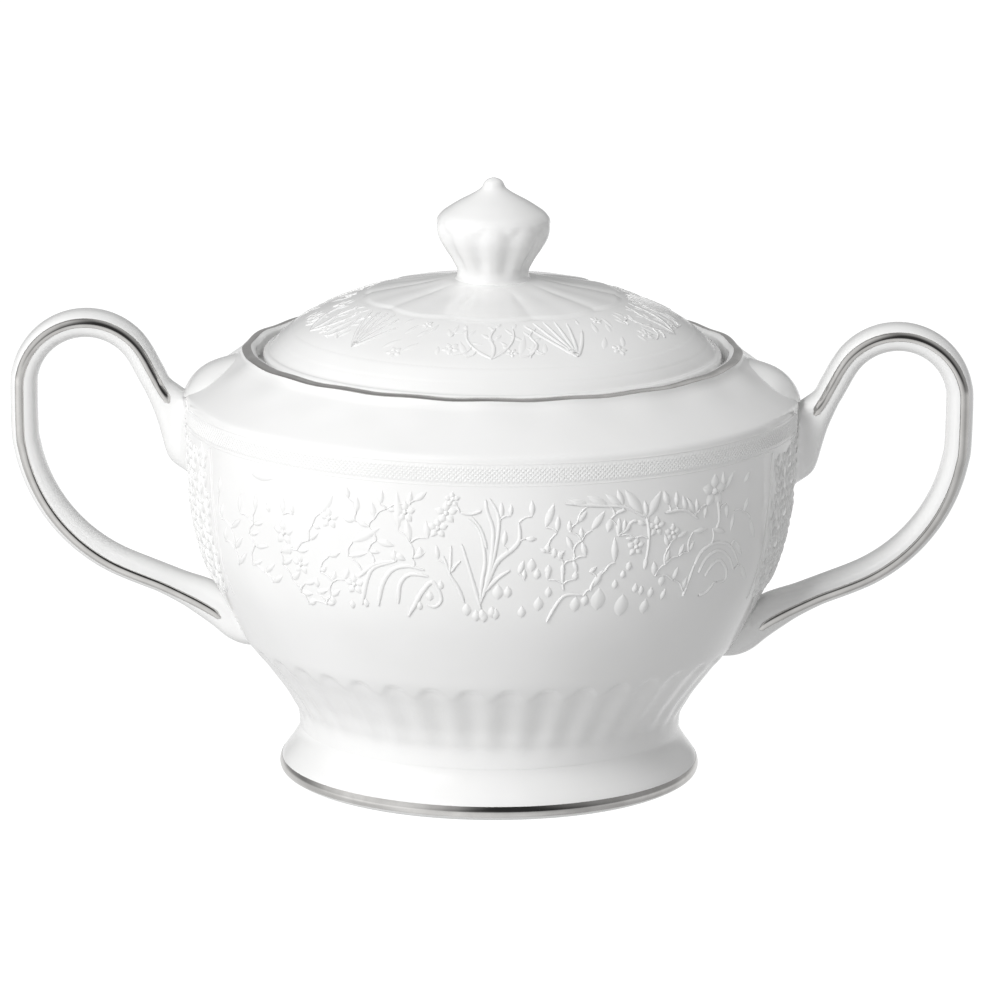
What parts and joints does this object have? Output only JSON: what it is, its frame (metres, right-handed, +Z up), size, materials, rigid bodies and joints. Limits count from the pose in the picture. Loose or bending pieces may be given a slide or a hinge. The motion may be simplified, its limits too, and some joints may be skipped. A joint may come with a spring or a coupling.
{
  "type": "sugar bowl",
  "caption": "Footed porcelain sugar bowl with two looped handles, a lift-off domed lid with a fluted knob, relief decoration and platinum lines.",
  "frame": {"origin": "centre of the standing ring of the foot, on the surface it stands on", "axes": "+Z up, +X along the line of the two handles, -Y the front"},
  "size_m": [0.185, 0.1184, 0.1164],
  "materials": {
    "porcelain": "clear glossy glaze over white hard porcelain",
    "platinum": "burnished platinum lustre line"
  },
  "bodies": {
    "bowl": {"pedestal_foot": "porcelain", "foot_platinum_band": "platinum", "bowl_body": "porcelain", "rim_platinum_band": "platinum", "handle_left": "porcelain", "handle_right": "porcelain", "handle_left_front_line": "platinum", "handle_left_back_line": "platinum", "handle_right_front_line": "platinum", "handle_right_back_line": "platinum"},
    "lid": {"lid": "porcelain", "lid_knob": "porcelain"}
  },
  "joints": [
    {"name": "lid_lift", "type": "slide", "parent": "bowl", "child": "lid", "axis": [0, 0, 1], "range_m": [0, 0.06]}
  ]
}
